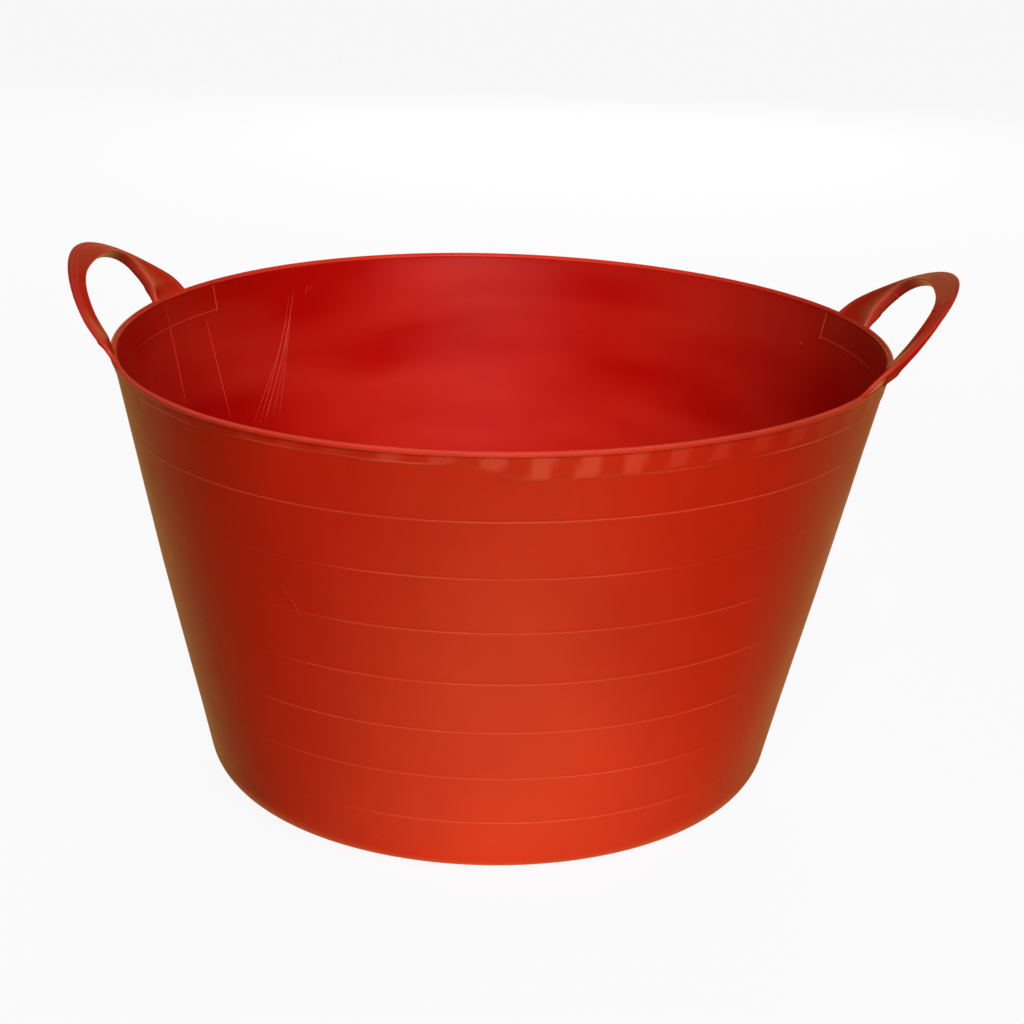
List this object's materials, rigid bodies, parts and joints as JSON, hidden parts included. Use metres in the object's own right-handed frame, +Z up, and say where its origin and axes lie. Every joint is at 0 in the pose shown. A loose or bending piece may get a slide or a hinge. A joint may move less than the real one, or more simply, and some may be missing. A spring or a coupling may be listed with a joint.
{
  "type": "mortar mixing tub",
  "caption": "Flexible round builder's tub, tapered, with a beaded rim and two splayed loop handles that fold inward to carry it.",
  "frame": {"origin": "centre of the foot ring's resting face, on the ground under the bowl's axis", "axes": "+Z up along the bowl's axis; X through the two handles, left handle at -X, right handle at +X; -Y is the front"},
  "size_m": [0.579, 0.5, 0.3475],
  "materials": {
    "wall_plastic": "satin",
    "rim_plastic": "satin",
    "handle_plastic": "satin",
    "base_plastic": "satin"
  },
  "bodies": {
    "tub": {"floor_disc": "base_plastic", "foot_ring": "base_plastic", "gate_boss": "base_plastic", "heel": "wall_plastic", "side_wall": "wall_plastic", "wall_rings": "wall_plastic", "rim_collar": "rim_plastic", "rim_bead": "rim_plastic", "left_insert_pad": "wall_plastic", "right_insert_pad": "wall_plastic", "seam_lines": "wall_plastic"},
    "left_handle": {"left_handle_front_leg": "handle_plastic", "left_handle_rear_leg": "handle_plastic", "left_handle_grip": "handle_plastic"},
    "right_handle": {"right_handle_front_leg": "handle_plastic", "right_handle_rear_leg": "handle_plastic", "right_handle_grip": "handle_plastic"}
  },
  "joints": [
    {"name": "left_handle_flex", "type": "hinge", "parent": "tub", "child": "left_handle", "pos_m": [-0.2215, 0, 0.2962], "axis": [0, 1, 0], "range_deg": [0, 55], "stiffness_Nm_per_rad": 0.8},
    {"name": "right_handle_flex", "type": "hinge", "parent": "tub", "child": "right_handle", "pos_m": [0.2215, 0, 0.2962], "axis": [0, -1, 0], "range_deg": [0, 55], "stiffness_Nm_per_rad": 0.8}
  ]
}
